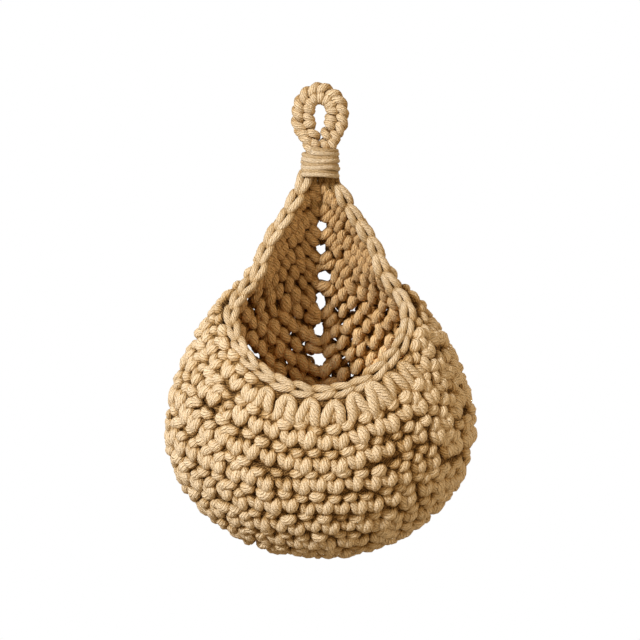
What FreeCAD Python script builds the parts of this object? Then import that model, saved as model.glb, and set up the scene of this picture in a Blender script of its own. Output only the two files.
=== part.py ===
"""Crocheted hanging fruit basket: courses of thick cord, a corded mouth rim, a bound neck and a hanging loop.

Millimetres, +Z up, front towards -Y. The origin is where a hook bears on the crown of the loop's eye.
Heights in this file are measured up from the bottom of the basket, and placed by level().
"""
import FreeCAD, Part
import Sketcher
import math
import os

Vector = FreeCAD.Vector

SIZES = {
    # the bag: a flattened round belly that draws in to the neck
    "belly_width": 174.6,
    "belly_depth": 115.0,
    "belly_height": 74.0,
    "belly_offset": 4.0,
    "body_height": 214.0,
    "neck_radius": 8.3,
    "neck_flare_width_share": 0.48,
    "neck_flare_depth_share": 0.24,
    "waist_height": 160.0,
    "waist_depth": 5.5,
    "waist_span": 12.0,
    # the crocheted fabric
    "fabric_thickness": 9.0,
    "course_bulge": 1.4,
    "course_gap": 0.9,
    "start_hole_radius": 1.5,
    "base_rounds": 6,
    "wall_rounds": 3,
    # the back panel: rows that meet in a V at the middle of the back, with an eyelet between rows
    "back_rows": 8,
    "back_start_height": 90.0,
    "back_crowding_share": 0.25,
    "back_first_rise": 57.0,
    "back_last_rise": 1.0,
    "rim_crowding_share": 0.35,
    "vee_softness_share": 0.08,
    "vee_bow_share": 0.65,
    "eyelet_diameter": 4.4,
    # the mouth
    "lip_height": 98.7,
    "brow_height": 180.0,
    "lip_curve_share": 0.47,
    "lip_corner_softness": 14.0,
    "rim_diameter": 8.0,
    "rim_gap": 0.6,
    # the bound neck
    "core_diameter": 14.6,
    "core_edge": 1.0,
    "seat_gap": 0.3,
    "binding_cord_diameter": 3.6,
    "binding_turn_gap": 0.45,
    "binding_turns": 3.5,
    "binding_clearance": 0.25,
    "binding_margin": 0.4,
    # the hanging loop: a strap folded over, its two ends side by side
    "strap_width": 12.4,
    "strap_thickness": 10.0,
    "leg_gap": 0.4,
    "loop_radius": 10.0,
    "loop_straight": 4.8,
    "shoulder_radius": 9.0,
    "hinge_clearance": 0.3,
}

SECTIONS_PER_ROUND = 48
SECTIONS_PER_ROW = 44
MERIDIAN_STEPS = 120
EDGE_STEPS = 160
RIM_SPANS_PER_SIDE = 8
SMALL_STEP = 1e-4

doc = FreeCAD.newDocument("hanging_fruit_basket")
sheet = doc.addObject("Spreadsheet::Sheet", "sizes")
for line, (name, value) in enumerate(SIZES.items(), start=1):
    sheet.set(f"A{line}", name)
    sheet.set(f"B{line}", str(value))
    sheet.setAlias(f"B{line}", name)
doc.recompute()


def size(name):
    """A driving dimension, read back from the sheet."""
    return float(sheet.get(name))


# Heights of the neck and loop, stacked up from the body

CORE_BOTTOM = size("body_height") + size("seat_gap")
BINDING_RADIUS = size("binding_cord_diameter") / 2
BINDING_PITCH = size("binding_cord_diameter") + size("binding_turn_gap")
BINDING_START = CORE_BOTTOM + size("binding_margin") + BINDING_RADIUS
BINDING_END = BINDING_START + BINDING_PITCH * size("binding_turns")
CORE_TOP = BINDING_END + BINDING_RADIUS + size("binding_margin")
ROLL_RADIUS = size("strap_thickness") / 2
HINGE_HEIGHT = CORE_TOP + size("hinge_clearance") + ROLL_RADIUS
LEG_OFFSET = (size("strap_width") + size("leg_gap")) / 2
SHOULDER_TURN = math.acos(1 - (size("loop_radius") - LEG_OFFSET) / (2 * size("shoulder_radius")))
SHOULDER_RISE = size("shoulder_radius") * math.sin(SHOULDER_TURN)
SHOULDER_TOP = HINGE_HEIGHT + 2 * SHOULDER_RISE
CROWN_CENTRE = SHOULDER_TOP + size("loop_straight")
EYE_TOP = CROWN_CENTRE + size("loop_radius") - size("strap_width") / 2


def level(height):
    """The Z of a height above the bottom of the basket."""
    return height - EYE_TOP


# The middle surface of the fabric

HALF_FABRIC = size("fabric_thickness") / 2
HALF_WIDTH = size("belly_width") / 2 - HALF_FABRIC
HALF_DEPTH = size("belly_depth") / 2 - HALF_FABRIC
BELLY_HEIGHT = size("belly_height")
BELLY_RISE = BELLY_HEIGHT - HALF_FABRIC
NECK_RISE = size("body_height") - BELLY_HEIGHT
NECK_RADIUS = size("neck_radius")
WIDTH_FLARE = size("neck_flare_width_share")
DEPTH_FLARE = size("neck_flare_depth_share")
BELLY_OFFSET = size("belly_offset")
WAIST_HEIGHT = size("waist_height")
WAIST_DEPTH = size("waist_depth")
WAIST_SPAN = size("waist_span")


def neck_curve(share, wide, flare):
    """Half-breadth above the belly: upright at the belly, leaning by flare at the neck."""
    ease = share * share * (3 - 2 * share)
    lean = share * share * (1 - share) * flare
    return wide + (NECK_RADIUS - wide) * ease + lean * NECK_RISE


def ring_sizes(place):
    """Half-width, half-depth, middle Y and height at a place: 0 is the bottom, 1 the belly, 2 the neck."""
    if place <= 1:
        turn = place * math.pi / 2
        grown = math.sin(turn)
        height = BELLY_HEIGHT - BELLY_RISE * math.cos(turn)
        return HALF_WIDTH * grown, HALF_DEPTH * grown, -BELLY_OFFSET, height
    share = place - 1
    height = BELLY_HEIGHT + NECK_RISE * share
    pinch = WAIST_DEPTH * math.exp(-(((height - WAIST_HEIGHT) / WAIST_SPAN) ** 2))
    half_width = neck_curve(share, HALF_WIDTH, WIDTH_FLARE) - pinch
    half_depth = neck_curve(share, HALF_DEPTH, DEPTH_FLARE)
    ease = share * share * (3 - 2 * share)
    return half_width, half_depth, BELLY_OFFSET * (ease - 1), height


def place_of(height):
    """The place on the meridian at a height."""
    if height >= BELLY_HEIGHT:
        return 1 + (height - BELLY_HEIGHT) / NECK_RISE
    return 2 / math.pi * math.acos(min(1.0, (BELLY_HEIGHT - height) / BELLY_RISE))


def surface(angle, place):
    """A point of the middle surface. Angle 0 is the middle of the back and pi the middle of the front."""
    half_width, half_depth, middle, height = ring_sizes(place)
    return Vector(half_width * math.sin(angle), middle + half_depth * math.cos(angle), level(height))


def round_way(angle, place):
    """How fast and in which direction the surface runs round the basket."""
    return (surface(angle + SMALL_STEP, place) - surface(angle - SMALL_STEP, place)) / (2 * SMALL_STEP)


def outward(angle, place):
    """The unit normal of the middle surface, pointing out of the basket."""
    up_way = surface(angle, place + SMALL_STEP) - surface(angle, place - SMALL_STEP)
    return up_way.cross(round_way(angle, place)).normalize()


def between(wanted, pairs):
    """The second value at a first value, read off pairs whose first values rise."""
    last = pairs[0]
    for pair in pairs:
        if pair[0] >= wanted:
            break
        last = pair
    if pair[0] <= last[0]:
        return pair[1]
    share = min(1.0, max(0.0, (wanted - last[0]) / (pair[0] - last[0])))
    return last[1] + (pair[1] - last[1]) * share


# The mouth: where its rim runs on the surface, and where the fabric ends beside it

RIM_RADIUS = size("rim_diameter") / 2
LIP_HEIGHT = size("lip_height")
BROW_RISE = size("brow_height") - LIP_HEIGHT


def rim_angle(height):
    """Angle of the rim at a height: the front at the lip, drawing round to the sides at the brow."""
    share = min(1.0, max(0.0, (height - LIP_HEIGHT) / BROW_RISE))
    round_lip = size("lip_curve_share")
    drawn = round_lip * math.sqrt(share) + (1 - round_lip) * share * share
    return math.pi - math.pi / 2 * math.sin(math.pi / 2 * drawn)


def rim_point(share):
    """A point of the right side's rim line, from the lip (0) to the neck (1), close together near the lip."""
    height = LIP_HEIGHT + (size("body_height") - LIP_HEIGHT) * share * share
    return surface(rim_angle(height), place_of(height))


def edge_of_fabric():
    """(height, angle) pairs of the fabric's edge, which lies one setback from the rim's line."""
    pairs = []
    for step in range(EDGE_STEPS + 1):
        share = step / EDGE_STEPS
        height = LIP_HEIGHT + (size("body_height") - LIP_HEIGHT) * share * share
        angle = rim_angle(height)
        place = place_of(height)
        along = rim_point(share + SMALL_STEP) - rim_point(max(0.0, share - SMALL_STEP))
        inward = along.cross(outward(angle, place)).normalize() * (RIM_RADIUS + size("rim_gap"))
        sideways = round_way(angle, place)
        pairs.append((height + inward.z, angle + inward.dot(sideways) / sideways.dot(sideways)))
    return pairs


EDGE_BY_HEIGHT = edge_of_fabric()
EDGE_BY_ANGLE = [(angle, height) for height, angle in reversed(EDGE_BY_HEIGHT)]


# The courses: closed rounds from the bottom up, then open rows that end at the rim

ROUNDS = int(size("base_rounds") + size("wall_rounds"))
ROWS = int(size("back_rows"))
HALF_GAP = size("course_gap") / 2
BACK_START = size("back_start_height")
BACK_END = size("body_height") - size("back_last_rise")


def row_ends(row):
    """Height at the middle of the back, and height and angle at the rim, of the top line of a row."""
    share = row / ROWS
    crowd = share * (1 - share)
    back = BACK_START + (BACK_END - BACK_START) * (share + size("back_crowding_share") * crowd)
    first = BACK_START + size("back_first_rise")
    end = first + (size("body_height") - first) * (share + size("rim_crowding_share") * crowd)
    return back, end, between(end, EDGE_BY_HEIGHT)


def vee(share):
    """A soft V from 0 at the middle of the back to 1 at the rim, steep at the middle."""
    soft = size("vee_softness_share")
    even = (math.hypot(share, soft) - soft) / (math.hypot(1, soft) - soft)
    return even + size("vee_bow_share") * even * (1 - even)


def rounds_top(angle):
    """Height of the line where the closed rounds stop: the lip in front, falling to the back."""
    turn = abs(math.atan2(math.sin(angle), math.cos(angle)))
    back, end, end_angle = row_ends(0)
    rising = back + (end - back) * vee(turn / end_angle)
    edge = between(turn, EDGE_BY_ANGLE)
    soft = size("lip_corner_softness")
    overlap = max(0.0, soft - abs(rising - edge))
    return min(rising, edge) - overlap * overlap / (4 * soft)


def row_line(row, share, lift):
    """(angle, place) beside the top line of a row, by the share of the way from the back to the rim."""
    back, end, end_angle = row_ends(row)
    angle = share * end_angle
    if row == 0:
        return angle, place_of(rounds_top(angle) + 2 * lift)
    return angle, place_of(back + (end - back) * vee(abs(share)) + lift)


def round_lines(angle):
    """Places on one meridian just under and just over each line between the closed rounds."""
    top = place_of(rounds_top(angle))
    track = [(0.0, 0.0)]
    last = surface(angle, 0.0)
    for step in range(1, MERIDIAN_STEPS + 1):
        place = top * step / MERIDIAN_STEPS
        point = surface(angle, place)
        track.append((track[-1][0] + (point - last).Length, place))
        last = point
    lengths = [track[-1][0] * line / ROUNDS for line in range(ROUNDS + 1)]
    lengths[0] = size("start_hole_radius")
    lengths[-1] += HALF_GAP
    return [(between(length - HALF_GAP, track), between(length + HALF_GAP, track)) for length in lengths]


def section(low, high):
    """The outline across a course between two lines, bulged outside and inside."""
    middle = ((low[0] + high[0]) / 2, (low[1] + high[1]) / 2)
    heart = surface(*middle)
    along = (surface(*high) - surface(*low)).cross(outward(*middle)).normalize()
    edge = HALF_FABRIC - size("course_bulge")
    corners = []
    for line, reach in ((low, edge), (middle, HALF_FABRIC), (high, edge)):
        for side in (1, -1):
            point = surface(*line) + outward(*line) * reach * side
            corners.append(point - along * (point - heart).dot(along))
    low_out, low_in, middle_out, middle_in, high_out, high_in = corners
    return Part.Wire([
        Part.Arc(low_out, middle_out, high_out).toShape(),
        Part.makeLine(high_out, high_in),
        Part.Arc(high_in, middle_in, low_in).toShape(),
        Part.makeLine(low_in, low_out),
    ])


def solid_feature(label, shape):
    """A document object that holds a shape worked out here from the sheet."""
    feature = doc.addObject("Part::Feature", label)
    feature.Label = label
    feature.Shape = shape
    return feature


nodes = []
angles = [math.pi * (2 * step + 1) / SECTIONS_PER_ROUND for step in range(SECTIONS_PER_ROUND)]
angles = [angle + math.pi / 2 for angle in angles]
meridians = [round_lines(angle) for angle in angles]
for line in range(1, ROUNDS + 1):
    outlines = []
    for angle, lines in zip(angles, meridians):
        outlines.append(section((angle, lines[line - 1][1]), (angle, lines[line][0])))
    base = line <= size("base_rounds")
    label = f"base_round_{line}" if base else f"wall_round_{line - int(size('base_rounds'))}"
    nodes.append(solid_feature(label, Part.makeLoft(outlines, True, False, True)))


def eyelet(row):
    """The pin that opens the eyelet at the middle of the back, on the top line of a row."""
    spot = (0.0, place_of(row_ends(row)[0]))
    pin = outward(*spot) * size("fabric_thickness")
    return Part.makeCylinder(size("eyelet_diameter") / 2, 2 * pin.Length, surface(*spot) - pin, pin)


shares = [2 * step / SECTIONS_PER_ROW - 1 for step in range(SECTIONS_PER_ROW + 1)]
for row in range(1, ROWS + 1):
    outlines = []
    for share in shares:
        outlines.append(section(row_line(row - 1, share, HALF_GAP), row_line(row, share, -HALF_GAP)))
    band = Part.makeLoft(outlines, True, False, False)
    for line in (row - 1, row):
        if 0 < line < ROWS:
            band = band.cut(eyelet(line))
    nodes.append(solid_feature(f"back_row_{row}", band))


# Tubes on routes of tangent arcs: the mouth's rim and the neck's binding


def arc_from(start, heading, end):
    """The edge that leaves a point along a heading and reaches another point."""
    chord = end - start
    bend = heading.getAngle(chord)
    if bend < SMALL_STEP:
        return Part.makeLine(start, end)
    toward = (heading - chord * (heading.dot(chord) / chord.dot(chord))).normalize()
    top = start + chord / 2 + toward * (chord.Length / 2 * math.tan(bend / 2))
    return Part.Arc(start, top, end).toShape()


def arcs_through(points, headings):
    """Two tangent arcs between each pair of points, along the headings given there."""
    edges = []
    for start, end, leave, arrive in zip(points, points[1:], headings, headings[1:]):
        span = end - start
        both = span.dot(leave + arrive)
        turn = 2 * (1 - leave.dot(arrive))
        reach = span.dot(span) / (2 * both)
        if turn > SMALL_STEP ** 2:
            reach = (math.sqrt(both * both + turn * span.dot(span)) - both) / turn
        joint = (start + leave * reach + end - arrive * reach) / 2
        edges.append(arc_from(start, leave, joint))
        edges.append(arc_from(end, -arrive, joint))
    return edges


def tube(edges, start, heading, radius):
    """A round tube along joined edges."""
    route = Part.Wire(Part.__sortEdges__(edges))
    mouth = Part.Wire(Part.Circle(start, heading, radius).toShape())
    return route.makePipeShell([mouth], True, False)


def least_gap(route, thickness, turn):
    """The least clear space between parts of a tube that are at least half a turn apart along it."""
    points = route.discretize(Distance=thickness / 3)
    skip = int(turn / 2 / (thickness / 3))
    gaps = []
    for number, point in enumerate(points):
        gaps.extend((point - later).Length - thickness for later in points[number + skip:])
    return min(gaps)


RIM_END = size("body_height")
spans = [step / RIM_SPANS_PER_SIDE for step in range(RIM_SPANS_PER_SIDE + 1)]
side = []
for share in spans:
    share = share * math.sqrt((RIM_END - size("rim_diameter") - LIP_HEIGHT) / (RIM_END - LIP_HEIGHT))
    along = rim_point(share + SMALL_STEP) - rim_point(max(0.0, share - SMALL_STEP))
    side.append((rim_point(share), along.normalize()))
up = Vector(0, 0, 1)
side.append((surface(math.pi / 2, place_of(RIM_END - RIM_RADIUS)), up))
neck_end = side[-1][0] + up * RIM_RADIUS
side[0] = (side[0][0], Vector(1, 0, 0))


def mirrored(vector):
    """The same vector on the other side of the basket."""
    return Vector(-vector.x, vector.y, vector.z)


left = [(mirrored(point), -mirrored(heading)) for point, heading in reversed(side)]
stations = left[:-1] + side
rim_edges = arcs_through([point for point, heading in stations], [heading for point, heading in stations])
rim_edges.insert(0, Part.makeLine(mirrored(neck_end), stations[0][0]))
rim_edges.append(Part.makeLine(stations[-1][0], neck_end))
nodes.append(solid_feature("mouth_rim", tube(rim_edges, mirrored(neck_end), -up, RIM_RADIUS)))

WINDING_RADIUS = size("core_diameter") / 2 + size("binding_clearance") + BINDING_RADIUS
SLOPE = BINDING_PITCH / (2 * math.pi * WINDING_RADIUS)
quarters = int(round(4 * size("binding_turns")))
points = []
headings = []
for quarter in range(quarters + 1):
    turn = math.pi / 2 * quarter
    height = BINDING_START + BINDING_PITCH * quarter / 4
    points.append(Vector(WINDING_RADIUS * math.sin(turn), WINDING_RADIUS * math.cos(turn), level(height)))
    headings.append(Vector(math.cos(turn), -math.sin(turn), SLOPE).normalize())
winding = arcs_through(points, headings)
tail = size("binding_cord_diameter")
winding.insert(0, Part.makeLine(points[0] - headings[0] * tail, points[0]))
winding.append(Part.makeLine(points[-1], points[-1] + headings[-1] * tail))
wound = tube(winding, points[0] - headings[0] * tail, headings[0], BINDING_RADIUS)
nodes.append(solid_feature("neck_binding", wound))
route = Part.Wire(Part.__sortEdges__(winding))
clear = least_gap(route, tail, 2 * math.pi * WINDING_RADIUS)
print("least gap of the binding to itself, mm:", round(clear, 2))


# The neck core and the hanging loop, as bodies of sketches

def new_sketch(body, label, role):
    """A sketch on one of the body's own planes."""
    sketch = body.newObject("Sketcher::SketchObject", label)
    plane = [feature for feature in body.Origin.OriginFeatures if feature.Role == role][0]
    sketch.AttachmentSupport = [(plane, "")]
    sketch.MapMode = "FlatFace"
    return sketch


def bind(sketch, number, name, expression):
    """Name a sketch dimension and tie it to the sheet."""
    sketch.renameConstraint(number, name)
    sketch.setExpression(f"Constraints.{name}", expression)


core = doc.addObject("PartDesign::Body", "neck_core")
core.Label = "neck_core"
outline = new_sketch(core, "core_outline", "XY_Plane")
outline.addGeometry(Part.Circle(Vector(), up, size("core_diameter") / 2))
outline.addConstraint(Sketcher.Constraint("Coincident", 0, 3, -1, 1))
across = Sketcher.Constraint("Diameter", 0, size("core_diameter"))
bind(outline, outline.addConstraint(across), "core_across", "sizes.core_diameter")
pad = core.newObject("PartDesign::Pad", "core_height")
pad.Profile = outline
turns_height = "(sizes.binding_cord_diameter + sizes.binding_turn_gap) * sizes.binding_turns"
pad.setExpression("Length", f"sizes.binding_cord_diameter + 2 * sizes.binding_margin + {turns_height}")
outline.Visibility = False
doc.recompute()
soft = core.newObject("PartDesign::Fillet", "core_edges")
soft.Base = (pad, [f"Edge{number + 1}" for number, edge in enumerate(pad.Shape.Edges) if edge.Closed])
soft.setExpression("Radius", "sizes.core_edge")
core.Placement = FreeCAD.Placement(Vector(0, 0, level(CORE_BOTTOM)), FreeCAD.Rotation())
nodes.append(core)

loop = doc.addObject("PartDesign::Body", "hanging_loop")
loop.Label = "hanging_loop"
OUTER = size("loop_radius")
BEND = size("shoulder_radius")
FOOT = HINGE_HEIGHT - CROWN_CENTRE
WAIST = SHOULDER_TOP - CROWN_CENTRE

path = new_sketch(loop, "strap_route", "XZ_Plane")


def add_arc(centre_x, centre_z, radius, start, end):
    """An arc of the strap's route, counter-clockwise from one angle to another."""
    circle = Part.Circle(Vector(centre_x, centre_z, 0), Vector(0, 0, 1), radius)
    return path.addGeometry(Part.ArcOfCircle(circle, start, end))


def add_line(start_x, start_z, end_x, end_z):
    """A straight run of the strap's route."""
    return path.addGeometry(Part.LineSegment(Vector(start_x, start_z, 0), Vector(end_x, end_z, 0)))


START, END, CENTRE = range(1, 4)
right_low = add_arc(LEG_OFFSET + BEND, FOOT, BEND, math.pi - SHOULDER_TURN, math.pi)
right_high = add_arc(OUTER - BEND, WAIST, BEND, -SHOULDER_TURN, 0)
right_run = add_line(OUTER, WAIST, OUTER, 0)
crown = add_arc(0, 0, OUTER, 0, math.pi)
left_run = add_line(-OUTER, 0, -OUTER, WAIST)
left_high = add_arc(BEND - OUTER, WAIST, BEND, math.pi, math.pi + SHOULDER_TURN)
left_low = add_arc(-LEG_OFFSET - BEND, FOOT, BEND, 0, SHOULDER_TURN)
joins = [
    (right_low, START, right_high, START),
    (right_high, END, right_run, START),
    (right_run, END, crown, START),
    (crown, END, left_run, START),
    (left_run, END, left_high, START),
    (left_high, END, left_low, END),
]
for join in joins:
    path.addConstraint(Sketcher.Constraint("Tangent", *join))
path.addConstraint(Sketcher.Constraint("Coincident", crown, CENTRE, -1, 1))
path.addConstraint(Sketcher.Constraint("Vertical", right_run))
path.addConstraint(Sketcher.Constraint("Vertical", left_run))
path.addConstraint(Sketcher.Constraint("Horizontal", right_low, END, right_low, CENTRE))
path.addConstraint(Sketcher.Constraint("Horizontal", left_low, START, left_low, CENTRE))
path.addConstraint(Sketcher.Constraint("Equal", right_low, right_high))
path.addConstraint(Sketcher.Constraint("Equal", left_low, left_high))
path.addConstraint(Sketcher.Constraint("Equal", right_low, left_low))
STRAIGHT = "sizes.loop_straight"
HALF_LEGS = "(sizes.strap_width + sizes.leg_gap) / 2"
dimensions = [
    (Sketcher.Constraint("Radius", crown, OUTER), "crown", "sizes.loop_radius"),
    (Sketcher.Constraint("Radius", right_low, BEND), "shoulder", "sizes.shoulder_radius"),
    (Sketcher.Constraint("DistanceY", right_run, START, right_run, END, -WAIST), "right_straight", STRAIGHT),
    (Sketcher.Constraint("DistanceY", left_run, END, left_run, START, -WAIST), "left_straight", STRAIGHT),
    (Sketcher.Constraint("DistanceX", -1, 1, right_low, END, LEG_OFFSET), "right_leg", HALF_LEGS),
    (Sketcher.Constraint("DistanceX", left_low, START, -1, 1, LEG_OFFSET), "left_leg", HALF_LEGS),
]
for constraint, label, expression in dimensions:
    bind(path, path.addConstraint(constraint), label, expression)

strap = new_sketch(loop, "strap_section", "XY_Plane")
strap.AttachmentOffset = FreeCAD.Placement(Vector(LEG_OFFSET, 0, FOOT), FreeCAD.Rotation())
FLAT = (size("strap_width") - size("strap_thickness")) / 2


def add_stadium(sketch):
    """A flat-sided section with round edges: the strap cut across."""
    right_edge = Part.Circle(Vector(FLAT, 0, 0), Vector(0, 0, 1), ROLL_RADIUS)
    left_edge = Part.Circle(Vector(-FLAT, 0, 0), Vector(0, 0, 1), ROLL_RADIUS)
    sketch.addGeometry(Part.ArcOfCircle(right_edge, -math.pi / 2, math.pi / 2))
    sketch.addGeometry(Part.LineSegment(Vector(FLAT, ROLL_RADIUS, 0), Vector(-FLAT, ROLL_RADIUS, 0)))
    sketch.addGeometry(Part.ArcOfCircle(left_edge, math.pi / 2, 3 * math.pi / 2))
    sketch.addGeometry(Part.LineSegment(Vector(-FLAT, -ROLL_RADIUS, 0), Vector(FLAT, -ROLL_RADIUS, 0)))
    for number in range(4):
        sketch.addConstraint(Sketcher.Constraint("Tangent", number, END, (number + 1) % 4, START))
    sketch.addConstraint(Sketcher.Constraint("Horizontal", 1))
    sketch.addConstraint(Sketcher.Constraint("Equal", 0, 2))
    sketch.addConstraint(Sketcher.Constraint("Symmetric", 0, CENTRE, 2, CENTRE, -1, 1))
    thick = Sketcher.Constraint("Radius", 0, ROLL_RADIUS)
    wide = Sketcher.Constraint("DistanceX", 2, CENTRE, 0, CENTRE, 2 * FLAT)
    bind(sketch, sketch.addConstraint(thick), "half_thickness", "sizes.strap_thickness / 2")
    bind(sketch, sketch.addConstraint(wide), "flat_width", "sizes.strap_width - sizes.strap_thickness")


add_stadium(strap)
doc.recompute()
sweep = loop.newObject("PartDesign::AdditivePipe", "strap_sweep")
sweep.Profile = strap
sweep.Spine = (path, [f"Edge{number + 1}" for number in range(len(path.Shape.Edges))])
doc.recompute()

roll = new_sketch(loop, "foot_profile", "XZ_Plane")
roll.AttachmentOffset = FreeCAD.Placement(Vector(LEG_OFFSET, FOOT, 0), FreeCAD.Rotation())
right_edge = Part.Circle(Vector(FLAT, 0, 0), Vector(0, 0, 1), ROLL_RADIUS)
left_edge = Part.Circle(Vector(-FLAT, 0, 0), Vector(0, 0, 1), ROLL_RADIUS)
roll.addGeometry(Part.LineSegment(Vector(-FLAT - ROLL_RADIUS, 0, 0), Vector(FLAT + ROLL_RADIUS, 0, 0)))
roll.addGeometry(Part.ArcOfCircle(right_edge, 0, math.pi / 2))
roll.addGeometry(Part.LineSegment(Vector(FLAT, ROLL_RADIUS, 0), Vector(-FLAT, ROLL_RADIUS, 0)))
roll.addGeometry(Part.ArcOfCircle(left_edge, math.pi / 2, math.pi))
for number in range(4):
    roll.addConstraint(Sketcher.Constraint("Coincident", number, END, (number + 1) % 4, START))
roll.addConstraint(Sketcher.Constraint("PointOnObject", 1, CENTRE, -1))
roll.addConstraint(Sketcher.Constraint("Horizontal", 0))
roll.addConstraint(Sketcher.Constraint("Horizontal", 2))
roll.addConstraint(Sketcher.Constraint("PointOnObject", 0, START, -1))
roll.addConstraint(Sketcher.Constraint("Vertical", 1, END, 1, CENTRE))
roll.addConstraint(Sketcher.Constraint("Vertical", 3, START, 3, CENTRE))
roll.addConstraint(Sketcher.Constraint("Symmetric", 1, CENTRE, 3, CENTRE, -1, 1))
thick = Sketcher.Constraint("Radius", 1, ROLL_RADIUS)
bind(roll, roll.addConstraint(thick), "half_thickness", "sizes.strap_thickness / 2")
wide = Sketcher.Constraint("DistanceX", 3, CENTRE, 1, CENTRE, 2 * FLAT)
bind(roll, roll.addConstraint(wide), "flat_width", "sizes.strap_width - sizes.strap_thickness")
doc.recompute()
foot = loop.newObject("PartDesign::Revolution", "foot_roll")
foot.Profile = roll
foot.ReferenceAxis = (roll, ["H_Axis"])
foot.Angle = 360
doc.recompute()
other = loop.newObject("PartDesign::Mirrored", "other_foot")
other.Originals = [foot]
middle_plane = [feature for feature in loop.Origin.OriginFeatures if feature.Role == "YZ_Plane"][0]
other.MirrorPlane = (middle_plane, [""])
loop.Tip = other
loop.Placement = FreeCAD.Placement(Vector(0, 0, level(CROWN_CENTRE)), FreeCAD.Rotation())
nodes.append(loop)

doc.recompute()
for item in doc.Objects:
    if {"Invalid", "Error"} & set(item.State):
        raise RuntimeError(f"{item.Label} did not recompute: {item.State}")
for node in nodes:
    if node.Shape.isNull() or not node.Shape.isValid() or len(node.Shape.Solids) != 1:
        raise RuntimeError(f"{node.Label} is not one valid solid")

os.makedirs("parts", exist_ok=True)
for node in nodes:
    node.Shape.exportStep(f"parts/{node.Label}.step")
total = level(CROWN_CENTRE) + size("loop_radius") + size("strap_width") / 2 + EYE_TOP
print("pieces:", len(nodes), "total height, mm:", round(total, 1))
print("hinge Z, mm:", round(level(HINGE_HEIGHT), 3))
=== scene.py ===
import math

import bpy
import numpy as np
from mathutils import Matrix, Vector


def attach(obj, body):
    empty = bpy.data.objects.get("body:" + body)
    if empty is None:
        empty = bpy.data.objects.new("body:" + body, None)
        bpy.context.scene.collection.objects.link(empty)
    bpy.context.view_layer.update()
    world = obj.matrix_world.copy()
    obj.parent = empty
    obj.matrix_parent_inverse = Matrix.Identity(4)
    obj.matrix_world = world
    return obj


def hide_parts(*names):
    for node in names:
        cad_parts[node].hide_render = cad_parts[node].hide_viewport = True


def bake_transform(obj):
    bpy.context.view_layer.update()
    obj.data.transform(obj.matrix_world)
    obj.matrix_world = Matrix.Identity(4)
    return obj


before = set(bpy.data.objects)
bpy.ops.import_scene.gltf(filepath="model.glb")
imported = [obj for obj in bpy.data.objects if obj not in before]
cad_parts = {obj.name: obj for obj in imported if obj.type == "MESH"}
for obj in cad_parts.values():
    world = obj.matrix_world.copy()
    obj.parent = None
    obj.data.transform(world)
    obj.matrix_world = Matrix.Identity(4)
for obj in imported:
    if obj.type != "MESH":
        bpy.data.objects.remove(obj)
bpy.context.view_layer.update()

# Lengths are in millimetres and heights are above the base. Meshes are written in metres
MM = 0.001
TURN = 2 * math.pi
SEED = 7
rng = np.random.default_rng(SEED)

# Small steps for slopes, and the least values that are divided by or looked up
STEP = 1e-4
SLOPE_STEP = 0.01
LEAST_LENGTH = 1e-9
LEAST_PLACE = 1e-6
LEAST_SLOPE = 1e-6


# The middle surface of the fabric, as in the CAD model. A place is 0 to 1 up the belly, 1 to 2 up the neck

EYE_TOP = 257.575
HALF_WIDTH = 82.8
HALF_DEPTH = 53.0
BELLY_HEIGHT = 74.0
BELLY_RISE = 69.5
BODY_HEIGHT = 214.0
NECK_RISE = BODY_HEIGHT - BELLY_HEIGHT
NECK_RADIUS = 8.3
PAST_NECK = 1.1
WIDTH_FLARE = 0.48
DEPTH_FLARE = 0.24
BELLY_OFFSET = 4.0
WAIST_HEIGHT = 160.0
WAIST_DEPTH = 5.5
WAIST_SPAN = 12.0

# The mouth, and the fabric's edge behind its rim
LIP_HEIGHT = 98.7
BROW_RISE = 180.0 - LIP_HEIGHT
ROUND_LIP = 0.47
EDGE_SETBACK = 4.6
EDGE_STEPS = 161

# The courses: closed rounds from the base, then open rows that meet in a V at the back
BASE_ROUNDS = 6
ROUNDS = 9
ROWS = 8
BACK_START = 90.0
BACK_END = 213.0
BACK_CROWDING = 0.25
FIRST_RISE = 57.0
RIM_CROWDING = 0.35
VEE_SOFT = 0.08
VEE_BOW = 0.65
CORNER_SOFT = 14.0
HOLE_RADIUS = 1.5


def unit(vectors):
    return vectors / np.maximum(np.linalg.norm(vectors, axis=-1, keepdims=True), LEAST_LENGTH)


def run_length(points):
    """The length from the start of a path to each of its points."""
    return np.concatenate([[0.0], np.cumsum(np.linalg.norm(np.diff(points, axis=0), axis=1))])


def neck_curve(share, wide, flare):
    ease = share * share * (3 - 2 * share)
    return wide + (NECK_RADIUS - wide) * ease + share * share * (1 - share) * flare * NECK_RISE


def ring_sizes(place):
    """Half-width, half-depth, middle and height of the ring at a place."""
    turn = np.clip(place, 0.0, 1.0) * math.pi / 2
    grown = np.sin(turn)
    share = np.clip(place - 1, 0.0, PAST_NECK)
    ease = share * share * (3 - 2 * share)
    low = place <= 1
    height = np.where(low, BELLY_HEIGHT - BELLY_RISE * np.cos(turn), BELLY_HEIGHT + NECK_RISE * share)
    pinch = WAIST_DEPTH * np.exp(-(((height - WAIST_HEIGHT) / WAIST_SPAN) ** 2))
    half_width = np.where(low, HALF_WIDTH * grown, neck_curve(share, HALF_WIDTH, WIDTH_FLARE) - pinch)
    half_depth = np.where(low, HALF_DEPTH * grown, neck_curve(share, HALF_DEPTH, DEPTH_FLARE))
    middle = np.where(low, -BELLY_OFFSET, BELLY_OFFSET * (ease - 1))
    return half_width, half_depth, middle, height


def place_of(height):
    height = np.asarray(height, float)
    below = 2 / math.pi * np.arccos(np.clip((BELLY_HEIGHT - height) / BELLY_RISE, -1.0, 1.0))
    return np.where(height >= BELLY_HEIGHT, 1 + (height - BELLY_HEIGHT) / NECK_RISE, below)


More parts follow.
